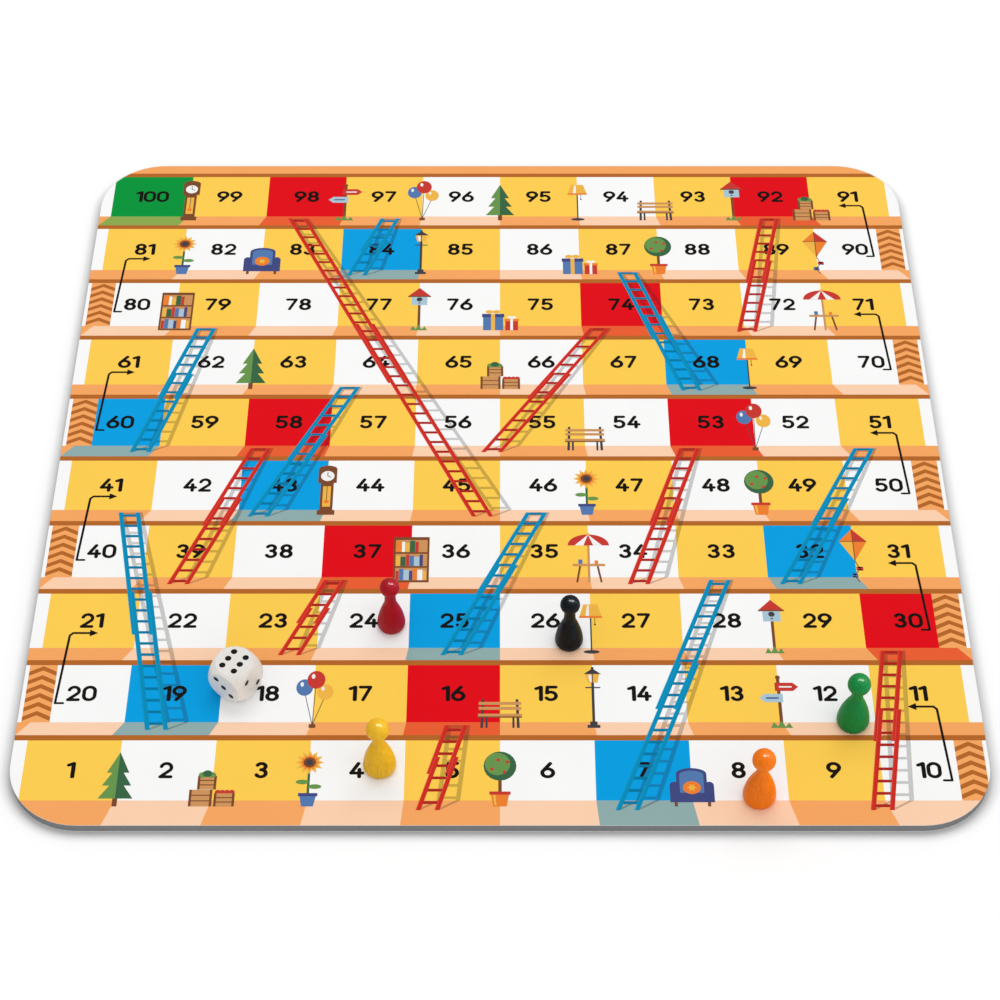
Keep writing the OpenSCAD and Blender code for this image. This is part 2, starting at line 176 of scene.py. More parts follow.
class PictureLooks(bpy.types.PropertyGroup):
    """Small printed pictures beside the numbers."""

    size: number("Size", 1.14, "Size of the pictures against their drawings in millimetres")
    forward: length("Forward", 2.6, "How far the pictures stand in front of their squares")
    first_layer: length("First layer", 0.012, "Height of the first colour over the paper")
    layer: length("Layer", 0.003, "Height of one colour over the one before it")
    red: colour("Red", linear(200, 58, 50), "Printed red")
    orange: colour("Orange", linear(238, 128, 48), "Printed orange")
    ochre: colour("Ochre", linear(240, 182, 72), "Printed ochre")
    brown: colour("Brown", linear(126, 74, 44), "Printed brown")
    wood: colour("Wood", linear(206, 148, 92), "Printed pale brown")
    navy: colour("Navy", linear(66, 74, 130), "Printed dark blue")
    blue: colour("Blue", linear(84, 122, 176), "Printed mid blue")
    sky: colour("Sky", linear(168, 198, 214), "Printed pale blue")
    dark: colour("Dark", linear(66, 66, 72), "Printed dark grey")
    white: colour("White", linear(243, 243, 241), "Printed white")
    leaf: colour("Leaf", linear(104, 150, 78), "Printed light green")
    pine: colour("Pine", linear(58, 104, 70), "Printed dark green")


class PawnLooks(bpy.types.PropertyGroup):
    """Turned and lacquered pawns."""

    stout: length("Stout body", 12.2, "Largest diameter of a stout pawn")
    slim: length("Slender body", 10.8, "Largest diameter of a slender pawn")
    stout_head: length("Stout ball", 8.5, "Diameter of a stout pawn's ball")
    slim_head: length("Slender ball", 7.5, "Diameter of a slender pawn's ball")
    neck: length("Neck", 4.1, "Diameter of the neck")
    foot_round: length("Foot round", 4.0, "Radius of the rounding at the foot")
    foot_round_z: length("Foot round height", 2.2, "Height of the middle of that rounding")
    foot_edge: length("Foot edge", 0.3, "Radius of the edge that the pawn stands on")
    flank: length("Flank", 28.0, "Radius of the long curve of the flank")
    flank_turn: angle("Flank turn", 5.0, "Where the flank's curve starts above the level")
    blend: length("Blend", 0.9, "Softness of the crease below the ball and at the neck")
    grain: length("Grain", 0.7, "Width of the wood's grain")
    lacquer: share("Lacquer roughness", 0.14, "Roughness of the lacquer")


class DieLooks(bpy.types.PropertyGroup):
    """Plastic die."""

    edge: length("Edge", 15.5, "Distance between two opposite faces")
    ball: length("Ball", 20.7, "Diameter of the ball that rounds the corners")
    rim: length("Rim", 0.5, "Radius between a face and the ball")
    pip: length("Pip", 2.4, "Diameter of a pip")
    pip_depth: length("Pip depth", 0.4, "Depth of a pip")
    pip_lip: length("Pip lip", 0.08, "Radius of a pip's edge")
    pip_offset: length("Pip offset", 3.1, "Distance of an outer pip from the middle")
    turn: angle("Turn", -32.0, "Turn of the die on the board")
    shell: share("Shell roughness", 0.3, "Roughness of the plastic")


class StageLooks(bpy.types.PropertyGroup):
    """Floor, light and camera."""

    elevation: angle("Elevation", 48.69, "Height of the camera above the horizon")
    distance: length("Distance", 970.8, "Distance of the camera from the point it looks at")
    forward: length("Forward", 24.0, "How far that point lies in front of the middle")
    lens: number("Lens", 86.71, "Focal length in millimetres on a 36 mm wide picture")
    floor: colour("Floor", (0.95, 0.95, 0.95), "Colour of the floor")
    floor_lift: share("Floor lift", 0.07, "Brightness that the camera sees added to the floor")
    fade_start: length("Fade start", 450.0, "Where the floor begins to fade to white")
    fade_end: length("Fade end", 900.0, "Where the floor has faded to white")
    shadow_reach: length("Shadow reach", 5.5, "How far the board's edge darkens the floor")
    shadow_depth: share("Shadow depth", 1.0, "How much the floor darkens right beside the board")
    sky_level: share("Sky level", 0.64, "Brightness of the room")
    front_level: share("Front level", 0.4, "Brightness that the room gains towards the right front")
    mirror_level: share("Mirror level", 0.24, "Share of the room's brightness in reflections")
    key_power: number("Key power", 34.5, "Power of the broad lamp behind the board, in watts")
    key_width: length("Key width", 2700.0, "Width of that lamp")
    key_height: length("Key height", 1350.0, "Height of that lamp")
    glint_power: number("Glint power", 620.0, "Power of the lamp that only the lacquer reflects")
    glint_width: length("Glint width", 3600.0, "Width of that lamp")
    glint_height: length("Glint height", 1300.0, "Height of that lamp")
    side_power: number("Side power", 52.0, "Power of the lamp that lights the pawns from the right")
    side_width: length("Side width", 3400.0, "Width of that lamp")
    side_height: length("Side height", 1800.0, "Height of that lamp")
    lamp_distance: length("Lamp distance", 3600.0, "Distance of the lamps from the board")


class BoardGameLooks(bpy.types.PropertyGroup):
    """All sizes and colours of the looks."""

    ink: bpy.props.PointerProperty(type=PrintLooks, name="Print", description="Paper and ink")
    ladders: bpy.props.PointerProperty(type=LadderLooks, name="Ladders", description="Ladders")
    pictures: bpy.props.PointerProperty(
        type=PictureLooks, name="Pictures", description="Printed pictures"
    )
    pawns: bpy.props.PointerProperty(type=PawnLooks, name="Pawns", description="Pawns")
    die: bpy.props.PointerProperty(type=DieLooks, name="Die", description="Die")
    stage: bpy.props.PointerProperty(type=StageLooks, name="Stage", description="Stage")


def looks():
    return bpy.context.scene.board_game_looks


# Node trees as expressions

class Wire:
    """A socket of a node tree that takes part in Python arithmetic."""

    def __init__(self, tree, socket=None):
        self.tree, self.socket = tree, socket

    def node(self, kind, settings=None, inputs=None, output=0):
        """Adds a node: its settings first, then its values or links. Gives an output, if it has any."""
        made = self.tree.nodes.new(kind)
        for name, value in (settings or {}).items():
            setattr(made, name, value)
        for key, value in (inputs or {}).items():
            if isinstance(value, Wire):
                self.tree.links.new(value.socket, made.inputs[key])
            else:
                made.inputs[key].default_value = value
        return Wire(self.tree, made.outputs[output]) if made.outputs else None

    def math(self, operation, *values):
        return self.node("ShaderNodeMath", {"operation": operation}, dict(enumerate(values)))

    def vector(self, operation, *values, output=0):
        return self.node(
            "ShaderNodeVectorMath", {"operation": operation}, dict(enumerate(values)), output
        )

    def part(self, axis):
        return self.node("ShaderNodeSeparateXYZ", None, {0: self}, axis)

    def __add__(self, other):
        return self.math("ADD", self, other)

    __radd__ = __add__

    def __sub__(self, other):
        return self.math("SUBTRACT", self, other)

    def __rsub__(self, other):
        return self.math("SUBTRACT", other, self)

    def __mul__(self, other):
        return self.math("MULTIPLY", self, other)

    __rmul__ = __mul__

    def __truediv__(self, other):
        return self.math("DIVIDE", self, other)

    def __lt__(self, other):
        return self.math("LESS_THAN", self, other)

    def __gt__(self, other):
        return self.math("GREATER_THAN", self, other)


def empty_tree(owner):
    """The emptied node tree of a material or a world."""
    owner.use_nodes = True
    owner.node_tree.nodes.clear()
    return Wire(owner.node_tree)


class Finish:
    """A material with one principled shader, and the wires to draw on it."""

    def __init__(self, name):
        self.material = bpy.data.materials.new(name)
        self.wire = empty_tree(self.material)
        lit = self.wire.node("ShaderNodeBsdfPrincipled")
        self.shader = lit.socket.node
        self.wire.node("ShaderNodeOutputMaterial", None, {"Surface": lit})
        self.place = self.wire.node("ShaderNodeTexCoord", output="Object")

    def set(self, **values):
        for name, value in values.items():
            socket = self.shader.inputs[name.replace("_", " ")]
            if isinstance(value, Wire):
                self.wire.tree.links.new(value.socket, socket)
            else:
                socket.default_value = value
        return self

    def noise(self, sizes, detail=2.0, rough=0.5):
        """Noise about 0 that repeats over the given size, or sizes along X, Y and Z."""
        if not isinstance(sizes, tuple):
            sizes = (sizes,) * 3
        stretched = self.wire.vector("MULTIPLY", self.place, tuple(1 / s for s in sizes))
        drawn = self.wire.node(
            "ShaderNodeTexNoise", None,
            {"Vector": stretched, "Scale": 1.0, "Detail": detail, "Roughness": rough},
        )
        return drawn - 0.5

    def tint(self, rgb, factor):
        """A colour times a factor that varies over the surface."""
        return self.wire.node(
            "ShaderNodeVectorMath", {"operation": "SCALE"}, {0: tuple(rgb), "Scale": factor}
        )

    def bump(self, height, depth):
        return self.set(
            Normal=self.wire.node("ShaderNodeBump", None, {"Distance": depth, "Height": height})
        )


# Sizes and depths of the patterns in the finishes, some of them along X, Y and Z
INK_CLOUD = 22 * MM
LINER_CLOUD, LINER_SPECK = 14 * MM, 0.9 * MM
PLY_LENGTH = 9 * MM
BOARD_FIBRE, BOARD_FLECK = (0.7 * MM, 0.7 * MM, 0.12 * MM), (1.3 * MM, 1.3 * MM, 0.2 * MM)
BOARD_DEPTH = 0.03 * MM
GRAIN_LENGTH = 16 * MM
WOOD_PORE, WOOD_CLOUD = (0.24 * MM, 0.24 * MM, 3.2 * MM), (5 * MM, 5 * MM, 12 * MM)
LACQUER_WAVE, LACQUER_DEPTH = 1.6 * MM, 0.02 * MM
PLASTIC_CLOUD, PLASTIC_MARK, PLASTIC_DEPTH = 4 * MM, (0.7 * MM, 1.0 * MM, 0.8 * MM), 0.015 * MM
PAINT_SKIN, PAINT_DEPTH = 0.3 * MM, 0.02 * MM
SHADE_GRIT = 0.3 * MM
# Noise above which a speck, a fleck or a pore shows
SPECK_FROM, FLECK_FROM, PORE_FROM = 0.24, 0.23, 0.17


def printed(name, rgb):
    """Ink under satin varnish on paper."""
    look = looks().ink
    finish = Finish(name)
    fibre = finish.noise(look.fibre, 3.0, 0.6)
    cloud = finish.noise(INK_CLOUD)
    finish.set(
        Base_Color=finish.tint(rgb, 1 + look.mottle * (fibre + 1.4 * cloud)),
        Roughness=look.varnish + 0.16 * fibre,
        Specular_IOR_Level=look.shine,
    )
    return finish.bump(fibre, look.fibre_depth).material


def liner(name, rgb):
    """Plain paper with short fibres and a few specks."""
    look = looks().ink
    finish = Finish(name)
    fibre = finish.noise((look.fibre * 6, look.fibre, look.fibre), 4.0, 0.65)
    cross = finish.noise((look.fibre, look.fibre * 7, look.fibre), 4.0, 0.65)
    specks = finish.noise(LINER_SPECK) > SPECK_FROM
    cloud = finish.noise(LINER_CLOUD)
    finish.set(
        Base_Color=finish.tint(rgb, 1 + 0.07 * (fibre + cross) + 0.05 * cloud - 0.16 * specks),
        Roughness=0.82 + 0.1 * fibre,
        Specular_IOR_Level=0.2,
    )
    return finish.bump(fibre + cross, 2 * look.fibre_depth).material


def cut_board(name, rgb):
    """The sawn edge of solid grey board: plies, fibre ends and pale flecks."""
    look = looks().ink
    finish = Finish(name)
    plies = finish.noise((PLY_LENGTH, PLY_LENGTH, look.ply), 3.0, 0.6)
    fibre = finish.noise(BOARD_FIBRE, 4.0, 0.7)
    flecks = finish.noise(BOARD_FLECK, 1.0) > FLECK_FROM
    finish.set(
        Base_Color=finish.tint(rgb, 1 + 0.35 * plies + 0.35 * fibre + 0.45 * flecks),
        Roughness=0.9 + 0.1 * fibre,
        Specular_IOR_Level=0.15,
    )
    return finish.bump(plies + fibre, BOARD_DEPTH).material


def lacquered(name, rgb, foot_z):
    """Gloss lacquer on turned wood, whose grain runs up the pawn, with painted light that makes it a
    little lighter towards its top.
    """
    look = looks().pawns
    finish = Finish(name)
    grain = finish.noise((look.grain, look.grain, GRAIN_LENGTH), 3.0, 0.6)
    pores = finish.noise(WOOD_PORE) > PORE_FROM
    cloud = finish.noise(WOOD_CLOUD)
    # Painted light: the colour grows a little lighter with height above the pawn's foot
    level = (finish.place.part("Z") - foot_z) / look.stout
    finish.set(
        Base_Color=finish.tint(
            rgb, 0.88 + 0.5 * grain + 0.2 * cloud - 0.1 * pores + 0.05 * level
        ),
        Roughness=0.5 + 0.3 * grain,
        Specular_IOR_Level=0.04,
        Coat_Weight=0.28,
        Coat_Roughness=look.lacquer,
        Coat_IOR=1.4,
    )
    return finish.bump(grain + 0.6 * finish.noise(LACQUER_WAVE), LACQUER_DEPTH).material


def moulded(name, rgb):
    """Polished plastic with faint clouds and handling marks."""
    look = looks().die
    finish = Finish(name)
    cloud = finish.noise(PLASTIC_CLOUD)
    marks = finish.noise(PLASTIC_MARK, 3.0, 0.6)
    finish.set(
        Base_Color=finish.tint(rgb, 1 + 0.06 * cloud + 0.16 * marks),
        Roughness=look.shell + 0.2 * marks,
        Specular_IOR_Level=0.45,
        Coat_Weight=0.25,
        Coat_Roughness=0.12,
    )
    return finish.bump(marks, PLASTIC_DEPTH).material


def painted(name, rgb):
    """Thick paint that settled in a hollow."""
    finish = Finish(name)
    skin = finish.noise(PAINT_SKIN, 3.0)
    finish.set(
        Base_Color=finish.tint(rgb, 1 + 0.5 * skin),
        Roughness=0.42 + 0.2 * skin,
        Specular_IOR_Level=0.3,
    )
    return finish.bump(skin, PAINT_DEPTH).material


def shade_film(name, darkness):
    """The transparent grey that the shades beside the ladders are printed in."""
    finish = Finish(name)
    grit = finish.noise(SHADE_GRIT)
    finish.set(
        Base_Color=finish.tint((0.03, 0.03, 0.035), 1 + 0.2 * grit),
        Roughness=0.9,
        Specular_IOR_Level=0.0,
        Alpha=darkness,
    )
    finish.material.surface_render_method = "BLENDED"
    return finish.material


# Meshes

# A radius below this lies on the axis, and a point this near a face of the die lies in it
ON_AXIS, IN_FACE = 1e-9, 1e-6


def mesh_piece(name, mesh, material, body, sharp=None):
    """Makes an object of a mesh and lets it ride on a body of the part."""
    mesh.name = name
    mesh.materials.clear()
    mesh.materials.append(material)
    piece = bpy.data.objects.new(name, mesh)
    bpy.context.scene.collection.objects.link(piece)
    if sharp is not None:
        mesh.shade_smooth()
        mesh.set_sharp_from_angle(angle=math.radians(sharp))
    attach(piece, body)
    return piece


def as_mesh(bm, name):
    mesh = bpy.data.meshes.new(name)
    bm.to_mesh(mesh)
    bm.free()
    return mesh


def repaint(node, material):
    """Gives a CAD node its finish."""
    for slot in frame["nodes"][node].material_slots:
        slot.material = material


def circle(radius, height, sides):
    """Points of a level circle about Z."""
    turns = [2 * math.pi * k / sides for k in range(sides)]
    return [Vector((radius * math.cos(t), radius * math.sin(t), height)) for t in turns]


def add_lathe(bm, profile, sides, where):
    """Spins a profile of radius and height, from pole to pole, about Z."""
    rings = []
    for radius, height in profile:
        points = circle(radius, height, sides) if radius > ON_AXIS else [Vector((0, 0, height))]
        rings.append([bm.verts.new(where @ p) for p in points])
    for low, high in zip(rings, rings[1:]):
        for k in range(sides):
            n = (k + 1) % sides
            if len(low) == 1:
                bm.faces.new((low[0], high[n], high[k]))
            elif len(high) == 1:
                bm.faces.new((low[k], low[n], high[0]))
            else:
                bm.faces.new((low[k], low[n], high[n], high[k]))


def add_slab(bm, points, low, high):
    """A flat shape with a thickness, from its outline."""
    twice_area = sum(a[0] * b[1] - b[0] * a[1] for a, b in zip(points, points[1:] + points[:1]))
    if twice_area < 0:
        points = points[::-1]
    top = [bm.verts.new((x, y, high)) for x, y in points]
    base = [bm.verts.new((x, y, low)) for x, y in points]
    bm.faces.new(top)
    bm.faces.new(base[::-1])
    for k in range(len(points)):
        n = (k + 1) % len(points)
        bm.faces.new((base[k], base[n], top[n], top[k]))


def on_field(column, row):
    """A point of the print, counted in squares from its left edge and in rows from its front."""
    return (
        BOARD_LOW.x + SIDE_MARGIN + column * SQUARE_W,
        BOARD_LOW.y + FRONT_FLOOR + row * ROW_PITCH,
    )


# Ladders

def ladder_tree():
    """Geometry nodes for the rails and rungs between a foot and a head."""
    tree = bpy.data.node_groups.new("Ladder bars", "GeometryNodeTree")
    tree.interface.new_socket("Bars", in_out="OUTPUT", socket_type="NodeSocketGeometry")
    sockets = {
        "Foot": "Vector", "Head": "Vector", "Width": "Float", "Rail": "Float", "Rung": "Float",
        "Pitch": "Float", "Step": "Float", "Lower end": "Float", "Upper start": "Float",
        "Thickness": "Float", "With rails": "Bool", "With rungs": "Bool", "Ink": "Material",
    }
    for name, kind in sockets.items():
        tree.interface.new_socket(name, in_out="INPUT", socket_type="NodeSocket" + kind)
    given = tree.nodes.new("NodeGroupInput")
    value = {name: Wire(tree, given.outputs[name]) for name in sockets}
    start = Wire(tree)

    def point(x, y, z):
        return start.node("ShaderNodeCombineXYZ", None, {0: x, 1: y, 2: z})

    foot, head = value["Foot"], value["Head"]
    width, rail, rung = value["Width"], value["Rail"], value["Rung"]
    rise = head.part("Y") - foot.part("Y")
    slope = (head.part("X") - foot.part("X")) / rise
    spaces = start.math("FLOOR", rise / value["Pitch"])
    spare = rise - spaces * value["Pitch"]

    index = start.node("GeometryNodeInputIndex")
    up = start.math("MINIMUM", spare / 2 + index * value["Pitch"], rise - rung)
    along = up / rise
    left = rail - width / 2 - value["Step"] * (along > value["Lower end"])
    right = width / 2 - rail - value["Step"] * (1 - (along < value["Upper start"]))
    line = start.node("GeometryNodeMeshLine", {"mode": "OFFSET"}, {"Count": spaces + 1})
    line = start.node(
        "GeometryNodeSetPosition", None,
        {"Geometry": line, "Position": point((left + right) / 2, up + rung / 2, 0.0)},
    )
    cube = start.node("GeometryNodeMeshCube", None, {"Size": (1.0, 1.0, 1.0)})
    rungs = start.node(
        "GeometryNodeInstanceOnPoints", None,
        {"Points": line, "Instance": cube, "Scale": point(right - left, rung, value["Thickness"])},
    )
    ends = start.node(
        "GeometryNodeMeshLine", {"mode": "END_POINTS"},
        {"Count": 2, "Start Location": point((rail - width) / 2, rise / 2, 0.0),
         "Offset": point((width - rail) / 2, rise / 2, 0.0)},
    )
    rails = start.node(
        "GeometryNodeInstanceOnPoints", None,
        {"Points": ends, "Instance": cube, "Scale": point(rail, rise, value["Thickness"])},
    )
    joined = tree.nodes.new("GeometryNodeJoinGeometry")
    for bars, wanted in ((rungs, "With rungs"), (rails, "With rails")):
        switch = start.node(
            "GeometryNodeSwitch", {"input_type": "GEOMETRY"},
            {"Switch": value[wanted], "True": bars},
        )
        tree.links.new(switch.socket, joined.inputs[0])
    solid = start.node("GeometryNodeRealizeInstances", None, {0: Wire(tree, joined.outputs[0])})
    here = start.node("GeometryNodeInputPosition")
    leaned = point(
        here.part("X") + foot.part("X") + slope * here.part("Y"),
        here.part("Y") + foot.part("Y"),
        here.part("Z") + foot.part("Z"),
    )
    solid = start.node("GeometryNodeSetPosition", None, {"Geometry": solid, "Position": leaned})
    inked = start.node(
        "GeometryNodeSetMaterial", None, {"Geometry": solid, "Material": value["Ink"]}
    )
    start.node("NodeGroupOutput", None, {0: inked})
    return tree


def add_bars(bm, tree, **given):
    """Runs the ladder tree once, with the looks' sizes where none is given, and adds its bars."""
    look = looks().ladders
    inputs = {
        "width": look.width, "rail": look.rail, "rung": look.rung, "pitch": look.pitch,
        "step": look.step, "lower_end": LOWER_END, "upper_start": UPPER_START,
        "with_rails": True, "with_rungs": True,
    } | given
    carrier = bpy.data.objects.new("ladder_carrier", bpy.data.meshes.new("ladder_carrier"))
    bpy.context.scene.collection.objects.link(carrier)
    modifier = carrier.modifiers.new("Ladder bars", "NODES")
    modifier.node_group = tree
    for item in tree.interface.items_tree:
        if item.in_out == "INPUT":
            modifier[item.identifier] = inputs[item.name.replace(" ", "_").lower()]
    depsgraph = bpy.context.evaluated_depsgraph_get()
    mesh = bpy.data.meshes.new_from_object(carrier.evaluated_get(depsgraph))
    bm.from_mesh(mesh)
    bpy.data.objects.remove(carrier)
    bpy.data.meshes.remove(mesh)


def ladder_ends(ladder, z):
    return Vector((*on_field(*ladder[:2]), z)), Vector((*on_field(*ladder[2:]), z))


# Finishes of the board's slots that aren't varnished print
PLAIN_FINISH = {"liner_paper": liner, "grey_board": cut_board}


class BOARD_OT_print_board(bpy.types.Operator):
    """Give the paper, the grey board and every printed colour their finish"""

    bl_idname = "board.print_board"
    bl_label = "Paper and print"

    def execute(self, context):
        made = {}
        for node, slot in NODE_SLOT.items():
            if slot.endswith(("_paper", "_board", "_print")):
                finish = PLAIN_FINISH.get(slot, printed)
                made[slot] = made.get(slot) or finish(slot, SLOT_COLOUR[slot])
                repaint(node, made[slot])
        return {"FINISHED"}


class BOARD_OT_trim_ladders(bpy.types.Operator):
    """Print the dark rungs, the light lines and the shades of the ladders"""

    bl_idname = "board.trim_ladders"
    bl_label = "Ladder trim"

    def execute(self, context):
        look = looks().ladders
        tree = ladder_tree()
        film = shade_film("ladder_shade_film", look.shade)
        shades = bmesh.new()
        tables = (
            ("blue", BLUE_LADDERS, look.blue_rung, look.blue_line),
            ("red", RED_LADDERS, look.red_rung, look.red_line),
        )
        for name, table, rung_colour, line_colour in tables:
            rung_ink = printed(f"ladder_rung_{name}", rung_colour)
            line_ink = printed(f"ladder_line_{name}", line_colour)
            rungs, lines = bmesh.new(), bmesh.new()
            for ladder in table:
                foot, head = ladder_ends(ladder, LADDER_Z)
                add_bars(
                    rungs, tree, foot=foot, head=head, thickness=RUNG_THICK, ink=rung_ink,
                    with_rails=False,
                )
                for low, high in self.lit_sections(look, foot, head):
                    add_bars(
                        lines, tree, foot=low, head=high, thickness=LINE_THICK, ink=line_ink,
                        with_rungs=False, width=look.width - look.rail + look.lit_line,
                        rail=look.lit_line,
                    )
                for low, high, with_rungs in self.shade_stretches(look, ladder):
                    add_bars(
                        shades, tree, foot=low, head=high, thickness=SHADE_THICK, ink=film,
                        with_rungs=with_rungs, step=0.0, rail=look.shade_rail,
                    )
            mesh_piece(f"ladder_rungs_{name}", as_mesh(rungs, "rungs"), rung_ink, "board")
            mesh_piece(f"ladder_lines_{name}", as_mesh(lines, "lines"), line_ink, "board")
        mesh_piece("ladder_shades", as_mesh(shades, "shades"), film, "board")
        return {"FINISHED"}

    def lit_sections(self, look, foot, head):
        """The lower and the upper section, moved to the left edge of each rail."""
        aside = Vector(((look.lit_line - look.rail) / 2, 0, 0))
        step = Vector((look.step, 0, 0))
        run = head - foot
        foot, head = foot + aside, head + aside
        return (foot, foot + run * LOWER_END), (foot + run * UPPER_START - step, head - step)

    def shade_stretches(self, look, ladder):
        """The shade's way over the floor to the wall, and with rungs from there to the head."""
        foot, head = ladder_ends(ladder, SHADE_Z)
        wall_y = on_field(0, math.ceil(ladder[1]))[1]
        kink = Vector((foot.x + look.shade_lean, wall_y, SHADE_Z))
        return (foot, kink, False), (kink, head, True)


# Pictures, drawn in millimetres from the middle of their foot

# Corners of a full disc
DISC_CORNERS = 20


def disc(x, y, rx, ry=None, end=360):
    """An ellipse, or its upper part up to an angle."""
    ry = rx if ry is None else ry
    corners = DISC_CORNERS if end == 360 else DISC_CORNERS + 1
    turns = [math.radians(end * k / DISC_CORNERS) for k in range(corners)]
    return [(x + rx * math.cos(t), y + ry * math.sin(t)) for t in turns]


def box(x0, y0, x1, y1):
    return [(x0, y0), (x1, y0), (x1, y1), (x0, y1)]


def bar(x0, y0, x1, y1, width):
    run = math.hypot(x1 - x0, y1 - y0)
    dx, dy = -(y1 - y0) / run * width / 2, (x1 - x0) / run * width / 2
    return [(x0 - dx, y0 - dy), (x1 - dx, y1 - dy), (x1 + dx, y1 + dy), (x0 + dx, y0 + dy)]


def star(x, y, outer, inner, tips):
    rays = [(inner if k % 2 else outer, math.pi * k / tips) for k in range(2 * tips)]
    return [(x + r * math.cos(t), y + r * math.sin(t)) for r, t in rays]


def both(ink, points):
    """A shape and its mirror image on the other side of the picture's middle."""
    return [(ink, points), (ink, [(-x, y) for x, y in points])]


def grass(half):
    return [(-half, 0), (-0.7 * half, 2.3), (-0.35 * half, 0.5), (0, 2.9), (0.35 * half, 0.5),
            (0.7 * half, 2.1), (half, 0)]


def pot(clay, rim, half, height):
    return [
        (clay, [(-half, height), (half, height), (0.7 * half, 0), (-0.7 * half, 0)]),
        (rim, box(-half - 0.4, height - 0.5, half + 0.4, height + 0.7)),
    ]


def round_tree():
    places = ((-2.6, 14.4), (1.4, 13.2), (2.4, 17.2), (-0.6, 18))
    fruit = [("red", disc(x, y, 0.6)) for x, y in places]
    return [
        ("brown", bar(0, 4, 0, 12, 1.1)), ("pine", disc(0, 15.6, 5.3, 5.7)),
        ("leaf", disc(-0.8, 16.4, 4.1, 4.4)), *fruit, *pot("orange", "red", 3, 5),
        ("ochre", [(-2.3, 4.4), (-1.4, 4.4), (-1.1, 0.4), (-1.7, 0.4)]),
    ]


def street_lamp():
    return [
        ("dark", bar(0, 0, 0, 19, 0.9)), ("dark", box(-2.1, 0, 2.1, 1.2)),
        ("dark", box(-1.2, 1.2, 1.2, 2.6)), ("dark", bar(-2.5, 16.4, 2.5, 16.4, 0.5)),
        ("ochre", [(-1.6, 18.4), (1.6, 18.4), (2.3, 22), (-2.3, 22)]),
        ("white", [(-1, 18.8), (-0.3, 18.8), (-0.4, 21.6), (-1.4, 21.6)]),
        ("dark", bar(0, 18.4, 0, 22, 0.3)), ("dark", [(-2.9, 22), (2.9, 22), (0, 24.3)]),
        ("dark", disc(0, 24.4, 0.5)),
    ]


def parasol():
    return [
        ("wood", bar(0, 0, 0, 20, 0.8)), *both("brown", bar(-4.2, 0, -3, 7.4, 0.7)),
        ("wood", box(-5.6, 7.2, 5.6, 8.3)), ("red", disc(0, 16.6, 7.2, 5, 180)),
        *both("white", [(0, 21.5), (-4.8, 16.6), (-1.7, 16.6)]), ("ochre", disc(0, 21.7, 0.6)),
        ("blue", box(-3.6, 8.3, -2.2, 10.2)), ("orange", box(2, 8.3, 3.2, 9.8)),
    ]


def gifts():
    return [
        ("blue", box(-6.4, 0, 1.2, 7)), ("navy", box(-6.8, 7, 1.6, 8.8)),
        ("ochre", box(-3.4, 0, -1.9, 8.8)), ("ochre", disc(-4, 9.9, 1.5, 0.95)),
        ("ochre", disc(-1.3, 9.9, 1.5, 0.95)), ("red", box(2, 0, 6.8, 4.8)),
        ("orange", box(1.7, 4.8, 7.1, 6.1)), ("white", box(3.9, 0, 4.9, 6.1)),
        ("white", disc(3.7, 6.9, 1, 0.65)), ("white", disc(5.2, 6.9, 1, 0.65)),
    ]


def balloons():
    strings = [("dark", bar(0, 1, x, y, 0.24)) for x, y in ((-3, 14), (0.4, 16), (3.4, 12))]
    return [
        *strings, ("brown", box(-1.1, 0, 1.1, 1.5)),
        ("ochre", disc(3.7, 14.6, 2.7, 3.2)), ("blue", disc(-3.2, 16.4, 2.8, 3.4)),
        ("red", disc(0.5, 19.6, 3, 3.7)), ("white", disc(-4.1, 17.7, 0.55, 0.95)),
        ("white", disc(-0.5, 21, 0.6, 1)), ("white", disc(2.9, 15.9, 0.5, 0.85)),
    ]


def sunflower():
    return [
        ("pine", bar(0, 4, 0, 15, 0.8)), ("leaf", disc(-2, 9.4, 2.1, 0.9)),
        ("leaf", disc(2.1, 7.6, 2.1, 0.9)), ("ochre", star(0, 17, 4.7, 3, 12)),
        ("orange", star(0, 17, 3.1, 2.3, 12)), ("brown", disc(0, 17, 2)),
        ("dark", disc(0, 17, 1.1)), *pot("blue", "navy", 2.7, 4.4),
    ]


def fir():
    drawn = [("brown", box(-0.8, 0, 0.8, 3.6))]
    for base, half, tip in ((3, 5.6, 11.6), (8, 4.7, 16.2), (13, 3.6, 21)):
        drawn.append(("leaf", [(-half, base), (0, base), (0, tip)]))
        drawn.append(("pine", [(0, base), (half, base), (0, tip)]))
    return drawn


def bench():
    return [
        *both("dark", bar(-6, 0, -5.58, 11.6, 0.9)), *both("dark", bar(-4.4, 0, -4.4, 4.8, 0.7)),
        ("wood", box(-7.2, 4.5, 7.2, 5.7)), ("brown", box(-7.2, 4.1, 7.2, 4.6)),
        ("wood", box(-7, 7.3, 7, 8.5)), ("wood", box(-7, 9.3, 7, 10.5)),
    ]


def bird_house():
    return [
        ("brown", bar(0, 0, 0, 14, 1)), ("sky", box(-3, 13.6, 3, 19)),
        ("red", [(-4.4, 18.4), (4.4, 18.4), (0, 23)]), ("brown", box(-4.4, 18, 4.4, 18.6)),
        ("dark", disc(0, 16.7, 1.1)), ("brown", box(-0.4, 14.5, 0.4, 15.1)),
        ("leaf", grass(3.2)),
    ]


